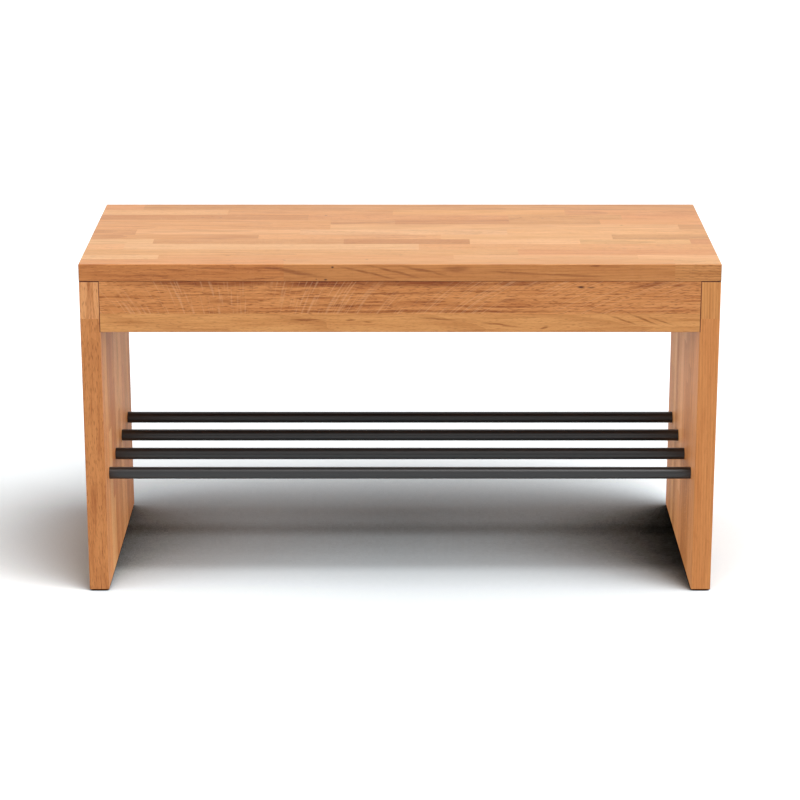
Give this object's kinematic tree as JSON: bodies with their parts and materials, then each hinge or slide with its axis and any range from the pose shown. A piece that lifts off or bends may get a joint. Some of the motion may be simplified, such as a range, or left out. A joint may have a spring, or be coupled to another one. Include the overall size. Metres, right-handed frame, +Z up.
{
  "type": "hall bench",
  "caption": "Oak hall bench: a seat board on two solid side panels, aprons under the seat, and a rack of round black bars for shoes.",
  "frame": {"origin": "on the floor, under the middle of the bench", "axes": "+X along the bench to the right seen from the front, +Y towards the back, +Z up"},
  "size_m": [0.83, 0.35, 0.45],
  "materials": {
    "oiled_oak": "oiled, satin",
    "black_powder_coat": "satin powder coat on steel tube",
    "beech_dowel": "bare, sanded",
    "zinc_plated_steel": "bright zinc plate",
    "wool_felt": "pressed felt, self-adhesive",
    "die_cast_zinc": "as cast"
  },
  "bodies": {
    "bench_frame": {"seat_top": "oiled_oak", "left_side_panel": "oiled_oak", "right_side_panel": "oiled_oak", "front_apron": "oiled_oak", "rear_apron": "oiled_oak", "front_shoe_bar": "black_powder_coat", "front_middle_shoe_bar": "black_powder_coat", "rear_middle_shoe_bar": "black_powder_coat", "rear_shoe_bar": "black_powder_coat", "apron_end_dowels": "beech_dowel", "cam_bolts": "zinc_plated_steel", "left_front_felt_glide": "wool_felt", "left_rear_felt_glide": "wool_felt", "right_front_felt_glide": "wool_felt", "right_rear_felt_glide": "wool_felt"},
    "left_front_cam": {"left_front_cam_lock": "die_cast_zinc"},
    "left_rear_cam": {"left_rear_cam_lock": "die_cast_zinc"},
    "right_front_cam": {"right_front_cam_lock": "die_cast_zinc"},
    "right_rear_cam": {"right_rear_cam_lock": "die_cast_zinc"}
  },
  "joints": [
    {"name": "left_front_cam_turn", "type": "hinge", "parent": "bench_frame", "child": "left_front_cam", "pos_m": [-0.365, -0.153, 0.377], "axis": [0, 1, 0], "range_deg": [0, 180]},
    {"name": "left_rear_cam_turn", "type": "hinge", "parent": "bench_frame", "child": "left_rear_cam", "pos_m": [-0.365, 0.153, 0.377], "axis": [0, -1, 0], "range_deg": [0, 180]},
    {"name": "right_front_cam_turn", "type": "hinge", "parent": "bench_frame", "child": "right_front_cam", "pos_m": [0.365, -0.153, 0.377], "axis": [0, 1, 0], "range_deg": [0, 180]},
    {"name": "right_rear_cam_turn", "type": "hinge", "parent": "bench_frame", "child": "right_rear_cam", "pos_m": [0.365, 0.153, 0.377], "axis": [0, -1, 0], "range_deg": [0, 180]}
  ]
}
